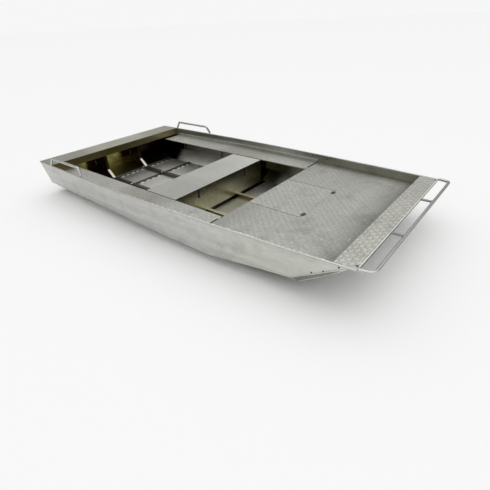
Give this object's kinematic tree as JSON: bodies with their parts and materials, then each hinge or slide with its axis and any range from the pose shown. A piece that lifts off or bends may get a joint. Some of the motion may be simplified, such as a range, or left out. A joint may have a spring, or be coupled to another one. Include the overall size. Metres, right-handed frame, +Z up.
{
  "type": "aluminium flat-bottomed boat hull",
  "caption": "Welded aluminium flat-bottomed boat hull with raked bow, checker-plate decks, open wells, flush deck hatch, bow rail and stern grab handles.",
  "frame": {"origin": "middle of the bounding box's base, on the underside of the flat bottom", "axes": "+X towards the bow, +Y to port, +Z up"},
  "size_m": [3.764, 1.8458, 0.4755],
  "materials": {
    "plating": "weathered mill finish sheet, soft grey streaks",
    "checker_plate": "rolled tread plate with raised lozenges, weathered",
    "inner_framing": "mill finish sheet and extrusions, slightly darker inside the hull",
    "trim": "bright square trim, lightly scuffed",
    "tube": "drawn tube, satin",
    "strap": "dark flat bar, worn bright at the toe",
    "hinge": "dark weathered steel"
  },
  "bodies": {
    "hull": {"bottom_plate": "plating", "stern_rake_plate": "plating", "bow_rake_plate": "plating", "side_plate_port": "plating", "side_plate_starboard": "plating", "chine_plate_port": "plating", "chine_plate_starboard": "plating", "transom_plate": "plating", "gunwale_trim_port": "trim", "gunwale_trim_starboard": "trim", "stern_cap": "plating", "bow_cap": "checker_plate", "side_deck_port": "checker_plate", "side_deck_starboard": "checker_plate", "front_deck": "checker_plate", "thwart_top": "plating", "thwart_bulkhead": "inner_framing", "hatch_ledge": "inner_framing", "hatch_hinge_deck_leaf_port": "hinge", "hatch_hinge_pin_port": "hinge", "floor_stringer_aft_port": "inner_framing", "floor_stringer_main_port": "inner_framing", "stern_knee_port": "inner_framing", "side_frame_aft_port": "inner_framing", "side_frame_mid_port": "inner_framing", "bulkhead_strap_port": "strap", "deck_strap_port": "strap", "floor_eye_port": "trim", "grab_handle_port": "tube", "rail_post_port": "tube", "hatch_hinge_deck_leaf_starboard": "hinge", "hatch_hinge_pin_starboard": "hinge", "floor_stringer_aft_starboard": "inner_framing", "floor_stringer_main_starboard": "inner_framing", "stern_knee_starboard": "inner_framing", "side_frame_aft_starboard": "inner_framing", "side_frame_mid_starboard": "inner_framing", "bulkhead_strap_starboard": "strap", "deck_strap_starboard": "strap", "floor_eye_starboard": "trim", "grab_handle_starboard": "tube", "rail_post_starboard": "tube", "floor_rib_aft": "inner_framing", "floor_rib_mid": "inner_framing", "bow_rail": "tube"},
    "hatch": {"hatch_lid": "checker_plate", "hatch_hinge_lid_leaf_port": "hinge", "hatch_hinge_lid_leaf_starboard": "hinge"}
  },
  "joints": [
    {"name": "hatch_hinge", "type": "hinge", "parent": "hull", "child": "hatch", "pos_m": [1.085, 0, 0.2985], "axis": [0, 1, 0], "range_deg": [0, 175]}
  ]
}
